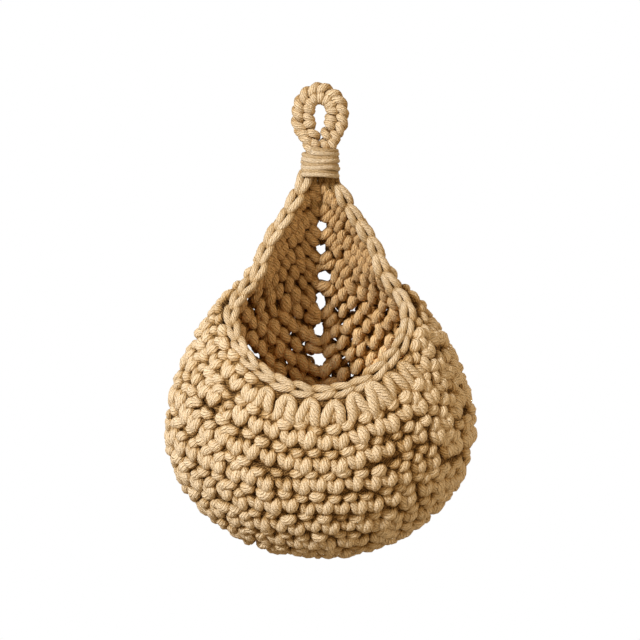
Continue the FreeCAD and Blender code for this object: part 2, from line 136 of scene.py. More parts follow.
def surface(angle, place):
    half_width, half_depth, middle, height = ring_sizes(np.asarray(place, float))
    x = half_width * np.sin(angle)
    y = middle + half_depth * np.cos(angle)
    return np.stack([x, y, height - EYE_TOP], axis=-1)


def outward(angle, place):
    up = surface(angle, place + STEP) - surface(angle, np.maximum(place - STEP, LEAST_PLACE))
    side = surface(angle + STEP, place) - surface(angle - STEP, place)
    return unit(np.cross(up, side))


def out_of_surface(points):
    """How far points lie outside the middle surface."""

    def reach(p):
        height = p[:, 2] + EYE_TOP
        half_width, half_depth, middle = ring_sizes(np.clip(place_of(height), 1.0, 2.0))[:3]
        flat = np.hypot(p[:, 0] / half_width, (p[:, 1] - middle) / half_depth)
        return np.hypot(flat, np.minimum(0.0, height - BELLY_HEIGHT) / BELLY_RISE)

    here = reach(points)
    slope = [(reach(points + step) - here) / SLOPE_STEP for step in np.eye(3) * SLOPE_STEP]
    return (here - 1) / np.maximum(np.linalg.norm(np.stack(slope, axis=1), axis=1), LEAST_SLOPE)


def rim_height(share):
    return LIP_HEIGHT + (BODY_HEIGHT - LIP_HEIGHT) * share * share


def rim_angle(height):
    share = np.clip((height - LIP_HEIGHT) / BROW_RISE, 0.0, 1.0)
    drawn = ROUND_LIP * np.sqrt(share) + (1 - ROUND_LIP) * share * share
    return math.pi - math.pi / 2 * np.sin(math.pi / 2 * drawn)


def rim_point(share):
    height = rim_height(share)
    return surface(rim_angle(height), place_of(height))


def edge_of_fabric():
    """Heights and angles of the fabric's edge, set back from the rim."""
    share = np.linspace(0.0, 1.0, EDGE_STEPS)
    height = rim_height(share)
    angle = rim_angle(height)
    place = place_of(height)
    along = rim_point(share + STEP) - rim_point(np.maximum(share - STEP, 0.0))
    inward = unit(np.cross(along, outward(angle, place))) * EDGE_SETBACK
    side = (surface(angle + STEP, place) - surface(angle - STEP, place)) / (2 * STEP)
    shift = np.sum(inward * side, axis=1) / np.sum(side * side, axis=1)
    return height + inward[:, 2], angle + shift


EDGE_HEIGHTS, EDGE_ANGLES = edge_of_fabric()


def vee(share):
    even = (np.hypot(share, VEE_SOFT) - VEE_SOFT) / (math.hypot(1, VEE_SOFT) - VEE_SOFT)
    return even + VEE_BOW * even * (1 - even)


def row_ends(row):
    """Heights of a row's line at the middle of the back and at the rim, and its angle at the rim."""
    share = row / ROWS
    crowd = share * (1 - share)
    back = BACK_START + (BACK_END - BACK_START) * (share + BACK_CROWDING * crowd)
    first = BACK_START + FIRST_RISE
    end = first + (BODY_HEIGHT - first) * (share + RIM_CROWDING * crowd)
    return back, end, np.interp(end, EDGE_HEIGHTS, EDGE_ANGLES)


def rounds_top(angle):
    turn = np.abs(np.arctan2(np.sin(angle), np.cos(angle)))
    back, end, end_angle = row_ends(0)
    rising = back + (end - back) * vee(turn / end_angle)
    edge = np.interp(turn, EDGE_ANGLES[::-1], EDGE_HEIGHTS[::-1])
    overlap = np.maximum(0.0, CORNER_SOFT - np.abs(rising - edge))
    return np.minimum(rising, edge) - overlap * overlap / (4 * CORNER_SOFT)


# Where the lines between the courses run, looked up in a table by angle and line

ANGLE_COUNT = 241
LINES_TO_ROUND = 8
TABLE_TOP = ROUNDS + 0.5
TABLE_ANGLES = np.linspace(0.0, TURN, ANGLE_COUNT)
TABLE_LINES = np.linspace(0.0, TABLE_TOP, int(LINES_TO_ROUND * TABLE_TOP) + 1)
FIRST_LINE = 0.02
# Places at which lengths up the surface are measured, and how far past the rounds they reach
TABLE_STEPS = 260
TABLE_REACH = 0.12


def round_table():
    table = []
    for angle in TABLE_ANGLES:
        top = float(place_of(rounds_top(angle)))
        places = np.linspace(0.0, top + TABLE_REACH, TABLE_STEPS)
        lengths = run_length(surface(angle, places))
        whole = np.interp(top, places, lengths)
        ends = whole * np.arange(ROUNDS + 2) / ROUNDS
        ends[0] = HOLE_RADIUS
        wanted = np.interp(TABLE_LINES, np.arange(ROUNDS + 2), ends)
        table.append(np.interp(wanted, lengths, places))
    return np.array(table)


ROUND_TABLE = round_table()


def round_spot(angle, line):
    """(angle, place) on the closed rounds. Line counts the rounds from the base, with fractions inside."""
    a = np.mod(angle, TURN) / (TABLE_ANGLES[1] - TABLE_ANGLES[0])
    b = np.clip(line, FIRST_LINE, TABLE_LINES[-1] - LEAST_PLACE) / (TABLE_LINES[1] - TABLE_LINES[0])
    i = np.minimum(a.astype(int), len(TABLE_ANGLES) - 2)
    j = np.minimum(b.astype(int), len(TABLE_LINES) - 2)
    a = a - i
    b = b - j
    low = ROUND_TABLE[i, j] * (1 - a) + ROUND_TABLE[i + 1, j] * a
    high = ROUND_TABLE[i, j + 1] * (1 - a) + ROUND_TABLE[i + 1, j + 1] * a
    return angle, low * (1 - b) + high * b


def row_spot(share, line):
    """(angle, place) on the open rows, by share of the way from the middle of the back to the rim."""
    whole = np.clip(np.floor(line).astype(int), 0, ROWS - 1)
    part = line - whole
    back, end, turn = np.array([row_ends(row) for row in range(ROWS + 1)]).T
    bend = vee(np.abs(share))
    first = share * turn[whole]
    lower = np.where(whole == 0, rounds_top(first), back[whole] + (end - back)[whole] * bend)
    upper = back[whole + 1] + (end - back)[whole + 1] * bend
    angle = first * (1 - part) + share * turn[whole + 1] * part
    return angle, place_of(lower * (1 - part) + upper * part)


# Cords: smooth paths and round tubes along them

# Sides of a tube, and the length of its rings
SIDES = 10
RING = 1.6
# Parts that a path is cut into between two points, and the fewest steps of a path
CURVE_PARTS = 8
FEWEST_STEPS = 4
# Lobes that wind along a cord: count, depth and length of a turn
LOBES = 3
LOBE_DEPTH = 0.045
LOBE_TURN = 4.2
# A cord nearer to upright than this starts its rings another way
UPRIGHT = 0.1

# Painted shade in the fabric's creases: depths between which the cord turns from dark to pale, outside and
# inside, and the palest it gets inside
DEEP = 2.75
HIGH = 5.0
DEEP_INSIDE = 2.0
HIGH_INSIDE = 4.5
MOST_INSIDE = 0.84
# Painted light and shade of the inside at two heights, lighter and warmer low down and darker toward the
# neck, and where it starts
PAINTED_LIGHT_HEIGHTS = (115.0, 160.0)
PAINTED_LIGHT_LOW = np.array([1.42, 1.30, 1.09])
PAINTED_SHADE_HIGH = np.array([0.90, 0.775, 0.605])
PAINTED_LIGHT_FROM = 0.5


def smooth_path(points, closed, step):
    """A rounded path through the points (rows of x, y, z and further values), cut at even steps."""
    if closed:
        padded = np.vstack([points[-1], points, points[:2]])
    else:
        padded = np.vstack([2 * points[0] - points[1], points, 2 * points[-1] - points[-2]])
    t = np.linspace(0.0, 1.0, CURVE_PARTS + 1)[:-1][None, :, None]
    p0, p1, p2, p3 = (padded[k:len(padded) - 3 + k][:, None, :] for k in range(4))
    square = 2 * p0 - 5 * p1 + 4 * p2 - p3
    cube = 3 * p1 - p0 - 3 * p2 + p3
    fine = 0.5 * (2 * p1 + (p2 - p0) * t + square * t ** 2 + cube * t ** 3)
    fine = fine.reshape(-1, points.shape[1])
    fine = np.vstack([fine, fine[0] if closed else points[-1]])
    return even_steps(fine, step)


def even_steps(path, step):
    lengths = run_length(path[:, :3])
    count = max(FEWEST_STEPS, int(round(lengths[-1] / step)))
    wanted = np.linspace(0.0, lengths[-1], count + 1)
    return np.stack([np.interp(wanted, lengths, column) for column in path.T], axis=1)


def relax(path, closed):
    """Softens a path once, each point toward the middle of its neighbours."""
    if closed:
        core = path[:-1]
        core = 0.5 * core + 0.25 * (np.roll(core, 1, axis=0) + np.roll(core, -1, axis=0))
        return np.vstack([core, core[0]])
    inner = 0.5 * path[1:-1] + 0.25 * (path[:-2] + path[2:])
    return np.vstack([path[0], inner, path[-1]])


def cord_frame(points, closed):
    """Two ways across a cord at each of its points, and the turn that lets a closed cord meet itself."""
    if closed:
        tangents = unit(np.roll(points, -1, axis=0) - np.roll(points, 1, axis=0))
    else:
        tangents = unit(np.gradient(points, axis=0))
    first = np.cross(tangents[0], [0.0, 0.0, 1.0])
    if np.linalg.norm(first) < UPRIGHT:
        first = np.cross(tangents[0], [0.0, 1.0, 0.0])
    normal = unit(first)
    normals = np.zeros_like(points)
    for i, tangent in enumerate(tangents):
        normal = normal - tangent * np.dot(normal, tangent)
        normal = normal / max(np.linalg.norm(normal), LEAST_LENGTH)
        normals[i] = normal
    binormals = np.cross(tangents, normals)
    twist = 0.0
    if closed:
        last = normals[-1] - tangents[0] * np.dot(normals[-1], tangents[0])
        twist = math.atan2(np.dot(last, binormals[0]), np.dot(last, normals[0]))
    return normals, binormals, -twist * np.arange(len(points)) / len(points)


def cord_rings(points, radii, closed, run):
    """Points in rings round a cord, with slight lobes that wind along it."""
    normals, binormals, turn = cord_frame(points, closed)
    phi = np.linspace(0.0, TURN, SIDES, endpoint=False)[None, :] + turn[:, None]
    lobes = 1 + LOBE_DEPTH * np.cos(LOBES * (phi - turn[:, None]) + TURN * run[:, None] / LOBE_TURN)
    ring = (np.cos(phi) * lobes)[:, :, None] * normals[:, None, :]
    ring = ring + (np.sin(phi) * lobes)[:, :, None] * binormals[:, None, :]
    return (points[:, None, :] + ring * radii[:, None, None]).reshape(-1, 3)


def cord_faces(count, closed, run):
    """Corners of a cord's faces, and their places on its map: share of the way round, and length along."""
    rows = count if closed else count - 1
    i = np.arange(rows)[:, None]
    j = np.arange(SIDES)[None, :]
    i2 = (i + 1) % count
    j2 = (j + 1) % SIDES
    corners = np.stack([i * SIDES + j, i * SIDES + j2, i2 * SIDES + j2, i2 * SIDES + j], axis=-1)
    ends = np.append(run[1:], run[-1] + run[1])[:rows]
    u0 = np.broadcast_to(j / SIDES, (rows, SIDES))
    u1 = u0 + 1.0 / SIDES
    v0 = np.broadcast_to(run[:rows, None], (rows, SIDES))
    v1 = np.broadcast_to(ends[:, None], (rows, SIDES))
    spots = [np.stack(pair, axis=-1) for pair in ((u0, v0), (u1, v0), (u1, v1), (u0, v1))]
    return corners.reshape(-1, 4), np.stack(spots, axis=2).reshape(-1, 2)


def fabric_shades(verts):
    """How far points stand out of the fabric, from 0 to 1, for painted shade in the creases, and the
    inside's painted light and shade.
    """
    depth = out_of_surface(verts)
    outside = (depth - DEEP) / (HIGH - DEEP)
    inside = (-depth - DEEP_INSIDE) / (HIGH_INSIDE - DEEP_INSIDE)
    raised = np.clip(np.where(depth > 0, outside, inside), 0.0, np.where(depth > 0, 1.0, MOST_INSIDE))
    # The inside gets warm painted light low down and painted shade toward the neck
    share = np.interp(verts[:, 2] + EYE_TOP, PAINTED_LIGHT_HEIGHTS, [0.0, 1.0])[:, None]
    within = np.clip(PAINTED_LIGHT_FROM - depth, 0.0, 1.0)[:, None]
    painted_light = np.ones((len(verts), 4))
    painted_light[:, :3] += (PAINTED_LIGHT_LOW + (PAINTED_SHADE_HIGH - PAINTED_LIGHT_LOW) * share - 1) * within
    return raised, painted_light


def tube_mesh(name, paths, fabric):
    """One mesh of cords. A path has rows of x, y, z, radius and, off the fabric, raised share, which sets
    painted shade.
    """
    verts = []
    quads = []
    uvs = []
    caps = []
    raises = []
    base = 0
    for path, closed in paths:
        path = path[:-1] if closed else path
        count = len(path)
        run = run_length(path[:, :3])
        verts.append(cord_rings(path[:, :3], path[:, 3], closed, run))
        corners, spots = cord_faces(count, closed, run)
        quads.append(base + corners)
        uvs.append(spots)
        if not fabric:
            raises.append(np.repeat(path[:, 4], SIDES))
        if not closed:
            caps.append(np.arange(base + SIDES - 1, base - 1, -1))
            caps.append(np.arange(base + (count - 1) * SIDES, base + count * SIDES))
        base += count * SIDES
    verts = np.vstack(verts)
    quads = np.vstack(quads)
    uvs = np.vstack(uvs)
    if fabric:
        raised, painted_light = fabric_shades(verts)
    else:
        raised = np.concatenate(raises)
        painted_light = np.ones((len(verts), 4))
    loops = np.concatenate([quads.reshape(-1), *caps]).astype(np.int32)
    starts = [np.arange(len(quads)) * 4, len(quads) * 4 + np.arange(len(caps)) * SIDES]
    starts = np.concatenate(starts).astype(np.int32)
    mesh = bpy.data.meshes.new(name)
    mesh.vertices.add(len(verts))
    mesh.vertices.foreach_set("co", (verts * MM).astype(np.float32).reshape(-1))
    mesh.loops.add(len(loops))
    mesh.loops.foreach_set("vertex_index", loops)
    mesh.polygons.add(len(starts))
    mesh.polygons.foreach_set("loop_start", starts)
    mesh.update(calc_edges=True)
    mesh.polygons.foreach_set("use_smooth", np.ones(len(starts), dtype=bool))
    layer = mesh.uv_layers.new(name="cord")
    flat = np.vstack([uvs, np.zeros((len(loops) - len(uvs), 2))])
    layer.data.foreach_set("uv", flat.astype(np.float32).reshape(-1))
    # Shares of painted shade in the creases, and the inside's painted light and shade
    shade = mesh.attributes.new("raised", "FLOAT", "POINT")
    shade.data.foreach_set("value", raised.astype(np.float32))
    colour = mesh.attributes.new("painted_light", "FLOAT_COLOR", "POINT")
    colour.data.foreach_set("color", painted_light.astype(np.float32).reshape(-1))
    mesh.validate()
    return mesh


# Cotton cord

ROUGHNESS = 0.9
SHINE = 0.12
# Plies wind round the cord, and yarns inside the plies: count, length of a step, and how far they wander
PLIES = (9.0, 2.1, 1.1)
YARNS = (17.0, 1.5, 2.4)
PLY_ROUNDNESS = 0.6
# Noises: scale and detail
WANDER = (300.0, 2.0)
FIBRES = (1100.0, 4.0)
PATCHES = (60.0, 2.0)
# Relief: weights of plies, yarns and fibres, and its strength and depth in metres
RELIEF_PLIES = 1.0
RELIEF_YARNS = 0.45
RELIEF_FIBRES = 1.4
RELIEF_STRENGTH = 0.9
RELIEF_DEPTH = 0.0008
# Tone: a start and weights. The raised share and the plies and yarns add painted shade in the creases and
# grooves; patches and fibres vary the tone at random
TONE_START = -0.34
TONE_RAISED = 0.78
TONE_PLIES = 0.24
TONE_YARNS = 0.06
TONE_PATCHES = 0.24
TONE_FIBRES = 0.75
# Colours by tone, from painted shade in the grooves to the brightest strands
MOST_TONE = 1.35
COLOURS = [
    (0.30, (0.11, 0.05, 0.011, 1)),
    (0.66, (0.49, 0.30, 0.115, 1)),
    (1.00, (0.735, 0.56, 0.34, 1)),
    (MOST_TONE, (0.95, 0.805, 0.605, 1)),
]


def cord_material():
    material = bpy.data.materials.new("cotton_cord")
    material.use_nodes = True
    tree = material.node_tree
    tree.nodes.clear()
    add = tree.nodes.new
    link = tree.links.new
    out = add("ShaderNodeOutputMaterial")
    shader = add("ShaderNodeBsdfPrincipled")
    shader.inputs["Roughness"].default_value = ROUGHNESS
    shader.inputs["Specular IOR Level"].default_value = SHINE
    link(shader.outputs[0], out.inputs[0])
    uv = add("ShaderNodeUVMap")
    uv.uv_map = "cord"
    split = add("ShaderNodeSeparateXYZ")
    link(uv.outputs[0], split.inputs[0])
    tex = add("ShaderNodeTexCoord")

    def math_node(kind, *values):
        node = add("ShaderNodeMath")
        node.operation = kind
        for socket, value in zip(node.inputs, values):
            if isinstance(value, (int, float)):
                socket.default_value = value
            else:
                link(value, socket)
        return node.outputs[0]

    def total(start, *parts):
        """A start and a sum of values, each times its weight."""
        whole = start
        for value, weight in parts:
            whole = math_node("ADD", whole, math_node("MULTIPLY", value, weight))
        return whole

    def noise(scale, detail):
        node = add("ShaderNodeTexNoise")
        node.inputs["Scale"].default_value = scale
        node.inputs["Detail"].default_value = detail
        link(tex.outputs["Object"], node.inputs["Vector"])
        return node.outputs[0]

    def attribute(name, output):
        node = add("ShaderNodeAttribute")
        node.attribute_name = name
        return node.outputs[output]

    def strands(count, length, wandering):
        """Ridges of strands that wind round the cord, from 0 in the grooves to 1."""
        along = math_node("DIVIDE", split.outputs[1], length)
        coil = total(along, (split.outputs[0], count), (wander, wandering))
        return math_node("ABSOLUTE", math_node("SINE", math_node("MULTIPLY", coil, math.pi)))

    wander = noise(*WANDER)
    plies = math_node("POWER", strands(*PLIES), PLY_ROUNDNESS)
    yarns = strands(*YARNS)
    fibres = noise(*FIBRES)
    bump = add("ShaderNodeBump")
    bump.inputs["Strength"].default_value = RELIEF_STRENGTH
    bump.inputs["Distance"].default_value = RELIEF_DEPTH
    relief = total(0.0, (plies, RELIEF_PLIES), (yarns, RELIEF_YARNS), (fibres, RELIEF_FIBRES))
    link(relief, bump.inputs["Height"])
    link(bump.outputs[0], shader.inputs["Normal"])

    # Painted shade: the cord is darker where it dips into the fabric and in the grooves of its plies and
    # yarns, paler where it stands out
    tone = total(
        TONE_START,
        (attribute("raised", "Fac"), TONE_RAISED),
        (plies, TONE_PLIES),
        (yarns, TONE_YARNS),
        (noise(*PATCHES), TONE_PATCHES),
        (fibres, TONE_FIBRES),
    )
    ramp = add("ShaderNodeValToRGB")
    stops = ramp.color_ramp.elements
    for stop, (place, colour) in zip(stops, (COLOURS[0], COLOURS[-1])):
        stop.position = place / MOST_TONE
        stop.color = colour
    for place, colour in COLOURS[1:-1]:
        stop = stops.new(place / MOST_TONE)
        stop.color = colour
    link(math_node("DIVIDE", tone, MOST_TONE), ramp.inputs[0])
    # The inside's painted light and shade multiply the colour
    painted_light_mix = add("ShaderNodeMix")
    painted_light_mix.data_type = "RGBA"
    painted_light_mix.blend_type = "MULTIPLY"
    painted_light_mix.inputs[0].default_value = 1.0
    link(ramp.outputs[0], painted_light_mix.inputs[6])
    link(attribute("painted_light", "Color"), painted_light_mix.inputs[7])
    link(painted_light_mix.outputs[2], shader.inputs["Base Color"])
    return material


COTTON = cord_material()


def piece(name, paths, body, *nodes, fabric=False):
    mesh = tube_mesh(name, paths, fabric)
    mesh.materials.append(COTTON)
    thing = bpy.data.objects.new(name, mesh)
    bpy.context.scene.collection.objects.link(thing)
    if body:
        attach(thing, body)
    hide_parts(*nodes)
    return thing


# Crochet courses: one cord per course, worked stitch by stitch

CORD = 4.7
PITCH = 9.4
# Each row: way along the course in stitches, way up in course heights, way out in mm, cord thickness share
BEHIND = [
    (-0.50, 0.98, -1.2, 0.85),
    (-0.42, 0.67, -2.2, 0.98),
    (-0.05, 0.76, -3.3, 1.18),
    (0.34, 0.85, -2.4, 1.04),
    (0.30, 0.66, -0.8, 0.80),
    (-0.20, 0.40, -0.8, 0.80),
    (-0.42, 0.17, -2.2, 0.98),
    (-0.05, 0.26, -3.3, 1.18),
    (0.34, 0.35, -2.4, 1.04),
    (0.20, 0.12, -1.0, 0.88),
    (0.07, 0.07, 0.2, 0.82),
]
# Two legs side by side, with a bar over them
STITCH = BEHIND + [
    (0.10, 0.15, 1.9, 1.02),
    (0.20, 0.32, 2.8, 1.16),
    (0.30, 0.50, 2.2, 1.06),
    (0.26, 0.62, 0.3, 0.84),
    (0.03, 0.68, -0.6, 0.80),
    (-0.20, 0.62, 0.4, 0.88),
    (-0.27, 0.51, 2.6, 1.16),
    (-0.20, 0.33, 3.4, 1.36),
    (-0.09, 0.15, 2.6, 1.14),
    (-0.05, 0.06, 0.6, 0.88),
    (-0.12, 0.26, -0.8, 0.80),
    (-0.16, 0.60, -0.9, 0.80),
    (0.10, 0.90, -0.4, 0.86),
    (0.18, 0.90, 2.2, 1.08),
    (0.42, 0.81, 3.2, 1.26),
    (0.66, 0.88, 2.2, 1.10),
    (0.72, 0.94, -0.2, 0.88),
]
# A stitch with one more strand, in courses taller than this
TALL_FROM = 14.6
TALL_STITCH = BEHIND + [
    (0.10, 0.13, 1.9, 1.02),
    (0.20, 0.27, 2.7, 1.16),
    (0.29, 0.42, 2.1, 1.06),
    (0.25, 0.52, 0.3, 0.84),
    (0.03, 0.56, -0.6, 0.80),
    (-0.20, 0.52, 0.4, 0.88),
    (-0.27, 0.42, 2.5, 1.16),
    (-0.19, 0.27, 3.3, 1.34),
    (-0.09, 0.12, 2.5, 1.14),
    (-0.05, 0.05, 0.6, 0.88),
    (-0.12, 0.26, -0.8, 0.80),
    (-0.30, 0.56, -0.6, 0.82),
    (-0.38, 0.70, 0.6, 0.92),
    (-0.28, 0.72, 2.4, 1.10),
    (-0.06, 0.64, 3.2, 1.28),
    (0.14, 0.57, 2.2, 1.08),
    (0.22, 0.58, 0.0, 0.86),
    (0.12, 0.80, -0.6, 0.82),
    (0.10, 0.93, 0.4, 0.90),
    (0.18, 0.93, 2.3, 1.08),
    (0.42, 0.86, 3.2, 1.28),
    (0.66, 0.92, 2.3, 1.10),
    (0.72, 0.96, -0.2, 0.88),
]
# An arch under the rim
EDGE_STITCH = BEHIND + [
    (0.00, 0.02, 1.4, 0.95),
    (0.01, 0.26, 2.2, 1.04),
    (-0.01, 0.52, 1.8, 0.96),
    (0.06, 0.70, 0.2, 0.85),
    (0.22, 0.36, -0.8, 0.80),
    (0.36, -0.14, 0.6, 0.92),
    (0.36, -0.02, 2.4, 1.08),
    (0.30, 0.23, 3.2, 1.20),
    (0.23, 0.52, 3.2, 1.18),
    (0.16, 0.78, 3.0, 1.12),
    (0.05, 0.92, 2.5, 1.04),
    (-0.07, 0.92, 2.5, 1.04),
    (-0.18, 0.78, 3.0, 1.12),
    (-0.25, 0.52, 3.3, 1.22),
    (-0.31, 0.22, 3.2, 1.22),
    (-0.37, -0.02, 2.4, 1.08),
    (-0.38, -0.14, 0.6, 0.90),
    (-0.20, 0.30, -0.9, 0.80),
    (0.10, 0.84, -1.0, 0.80),
    (0.40, 0.96, -0.8, 0.85),
]
# Stitches of the last round within this reach of X at the lip are arches, and this far apart
EDGE_MIDDLE = 8.0
EDGE_REACH = 36.0
EDGE_PITCH = 12.6

# A join runs up the right of the front at this X. Stitches are sunk in its crease and rougher to its right
JOIN_X = 45.5
JOIN_SPAN = 5.0
JOIN_DEPTH = 0.9
JOIN_ROUGH = 0.5
RIGHT_ROUGH = 0.3
FRONT_Y = -8.0
FRONT_HEIGHT = 40.0

# Courses rise and fall in two waves, and in front every second stitch stands higher
SLOW_DRIFT = 0.06
SLOW_RATE = 0.86
QUICK_DRIFT = 0.05
QUICK_RATE = 2.03
ZIGZAG = 0.05

# The bar ends a stitch. It lies at one of three depths, and the legs are longer under a deep one
BAR_POINTS = 4
BAR_MIDDLE = 0.42
BAR_DEPTHS = [-0.8, -0.2, 0.3]
BAR_LENGTHS = (0.85, 1.1)
PROUD_BAR = 1.1
DEEP_BAR = -0.5
LEG_FOOT = 0.12
LONG_LEG = 1.10

# How much the rest of a stitch varies
FRONT_LEAN = 0.10
EDGE_LEAN = 0.05
FRONT_THICKNESS = (1.04, 1.18)
BACK_TILT = 0.08
BACK_TILT_SPREAD = 0.10
BACK_DEPTH_SPREAD = 0.3
BACK_THICKNESS = 1.06
BACK_THICKNESS_SPREAD = 0.07
ALONG_SPREAD = 0.05
SHEAR_SPREAD = 0.05
TALL_SPREAD = 0.05
UP_SPREAD = 0.03
OUT_SPREAD = 0.35
JITTER = 0.026
EDGE_JITTER = 0.036
OUT_JITTER = 0.2
THICKNESS_SPREAD = 0.04
# Points left off the last stitch of an open course
OPEN_END = 6


def vary_bar(points, front):
    """Sets a stitch's bar at one of its depths, and its legs to suit."""
    bar = np.arange(len(points)) >= len(points) - BAR_POINTS
    legs = front & ~bar
    sunk = rng.choice(BAR_DEPTHS)
    points[bar, 0] = BAR_MIDDLE + (points[bar, 0] - BAR_MIDDLE) * rng.uniform(*BAR_LENGTHS)
    points[bar, 2] += sunk
    points[bar, 3] *= 1.0 if sunk < 0 else PROUD_BAR
    points[legs, 1] = LEG_FOOT + (points[legs, 1] - LEG_FOOT) * (LONG_LEG if sunk < DEEP_BAR else 1.0)


def vary_stitch(points, at, at_edge, rough, join, drift):
    """Moves a stitch to its place in the course and changes it a little, as a hand does."""
    front = np.arange(len(points)) >= len(BEHIND)
    behind = ~front
    along, tall, up, out, shear, lean = rng.normal(0.0, 1.0, 6) * rough
    if not at_edge:
        vary_bar(points, front)
    points[front, 0] += (EDGE_LEAN if at_edge else FRONT_LEAN) * lean * (points[front, 1] - 0.5)
    points[front, 3] *= rng.uniform(*FRONT_THICKNESS)
    tilt, deep, thick = rng.normal(0.0, 1.0, 3)
    points[behind, 1] += (BACK_TILT + BACK_TILT_SPREAD * tilt) * points[behind, 0]
    points[behind, 2] -= BACK_DEPTH_SPREAD * deep
    points[behind, 3] *= BACK_THICKNESS + BACK_THICKNESS_SPREAD * thick
    points[:, 0] += at + ALONG_SPREAD * along
    points[:, 0] += SHEAR_SPREAD * shear * (points[:, 1] - 0.5)
    points[:, 1] = 0.5 + (points[:, 1] - 0.5) * (1 + TALL_SPREAD * tall) + UP_SPREAD * up
    points[:, 1] += 0.0 if at_edge else drift
    points[front, 2] += OUT_SPREAD * out - JOIN_DEPTH * join
    points[:, :2] += rng.normal(0.0, EDGE_JITTER if at_edge else JITTER, (len(points), 2))
    points[:, 2] += rng.normal(0.0, OUT_JITTER, len(points))
    points[:, 3] *= 1 + THICKNESS_SPREAD * rng.normal()


def under_rim(top):
    return (top[:, 1] < 0) & (np.abs(top[:, 0] - EDGE_MIDDLE) < EDGE_REACH)


def course_path(count, locate, closed, edged=False):
    """The cord of one course. Locate turns (way along in stitches, way up) into points and outward ways."""
    middles = np.arange(count) + 0.5
    foot, middle, top = (locate(middles, np.full(count, up))[0] for up in (0.0, 0.5, 1.0))
    heights = np.linalg.norm(top - foot, axis=1)
    at_edge = edged & under_rim(top)
    in_front = (middle[:, 1] < FRONT_Y) & (middle[:, 2] > FRONT_HEIGHT - EYE_TOP)
    join = np.exp(-(((middle[:, 0] - JOIN_X) / JOIN_SPAN) ** 2)) * in_front
    rough = 1 + JOIN_ROUGH * join + RIGHT_ROUGH * in_front * (middle[:, 0] > JOIN_X)
    slow, quick = rng.uniform(0.0, TURN, 2)
    drift = SLOW_DRIFT * np.sin(middles * SLOW_RATE + slow)
    drift = drift + QUICK_DRIFT * np.sin(middles * QUICK_RATE + quick)
    drift = drift + ZIGZAG * np.where(np.arange(count) % 2, 1, -1) * (middle[:, 1] < 0)
    rows = []
    for n in range(count):
        plain = TALL_STITCH if heights[n] > TALL_FROM else STITCH
        points = np.array(EDGE_STITCH if at_edge[n] else plain)
        vary_stitch(points, middles[n], at_edge[n], rough[n], join[n], drift[n])
        rows.append(points)
    if not closed:
        rows[-1] = rows[-1][:-OPEN_END]
    cells = np.vstack(rows)
    spots, ways = locate(cells[:, 0], cells[:, 1])
    return np.hstack([spots + ways * cells[:, 2:3], cells[:, 3:4] * CORD / 2])


# Fillers lie inside a course, behind its stitches: ways up the course, way out and radius
ROUND_FILLERS = (0.14, 0.48, 0.82)
ROUND_FILLER_OUT = 0.3
ROUND_FILLER_RADIUS = 2.6
ROW_FILLERS = (0.25, 0.68)
ROW_FILLER_OUT = -0.2
ROW_FILLER_RADIUS = 2.0
# Points of a filler to a stitch, and its waves up and out
FILLER_PARTS = 4
FILLER_WAVE_UP = 0.05
FILLER_WAVE_OUT = 0.3


def filler_path(count, locate, up, out, radius):
    along = np.arange(FILLER_PARTS * count + 1) / FILLER_PARTS
    wave = np.sin(along * TURN)
    spots, ways = locate(along, up + FILLER_WAVE_UP * wave)
    points = spots + ways * (out + FILLER_WAVE_OUT * wave)[:, None]
    return np.hstack([points, np.full((len(points), 1), radius)])


# Stitches stand nearly square to their course, and each round starts a part of a stitch on from the last
LEAN = 0.9
LEAN_LIMITS = (-0.1, 1.1)
ROUND_SHIFT = 0.35
ROUND_STEPS = 721
FEWEST_STITCHES = 7
# Rows are laid out a little past the rim, and their cords end under it
ROW_REACH = 1.05
ROW_STEPS = 421
ROW_MIDDLE = ROW_STEPS // 2
UNDER_RIM = 1.5
# How far stitches may reach under the first row and over the last
ROW_UNDER = -0.2
ROW_OVER = 0.1
# Step of the row cords while eyelets are opened
FINE_STEP = 0.6


def lean_of(low, middle, high, lengths):
    """How far a stitch must lean along a course to stand square to it."""
    along = unit(np.stack([np.gradient(middle[:, k], lengths) for k in range(3)], axis=1))
    return LEAN * np.sum((high - low) * along, axis=1)


def leaned(run, up, lengths, lean):
    return run - np.interp(run, lengths, lean) * (np.clip(up, *LEAN_LIMITS) - 0.5)


def make_round(number):
    angles = np.linspace(0.0, TURN, ROUND_STEPS)
    lines = (np.full(ROUND_STEPS, number - 1.0 + up) for up in (FIRST_LINE, 0.5, 1.0))
    low, middle, high = (surface(*round_spot(angles, line)) for line in lines)
    lengths = run_length(middle)
    lean = lean_of(low, middle, high, lengths)
    edged = number == ROUNDS
    pitch = PITCH + (EDGE_PITCH - PITCH) * (edged & under_rim(high))
    stitches = np.concatenate([[0.0], np.cumsum(np.diff(lengths) / pitch[1:])])
    count = max(FEWEST_STITCHES, int(round(stitches[-1])))
    stitches = stitches * count / stitches[-1]

    def locate(along, up):
        run = np.interp(np.mod(along + ROUND_SHIFT * number, count), stitches, lengths)
        run = leaned(run, up, lengths, lean)
        angle = np.interp(np.mod(run, lengths[-1]), lengths, angles)
        angle, place = round_spot(angle, number - 1 + up)
        return surface(angle, place), outward(angle, place)

    course = smooth_path(course_path(count, locate, True, edged), True, RING)
    paths = [(relax(course, True), True)]
    if number > 1:
        for up in ROUND_FILLERS:
            filler = filler_path(count, locate, up, ROUND_FILLER_OUT, ROUND_FILLER_RADIUS)
            paths.append((smooth_path(filler[:-1], True, 2 * RING), True))
    return paths


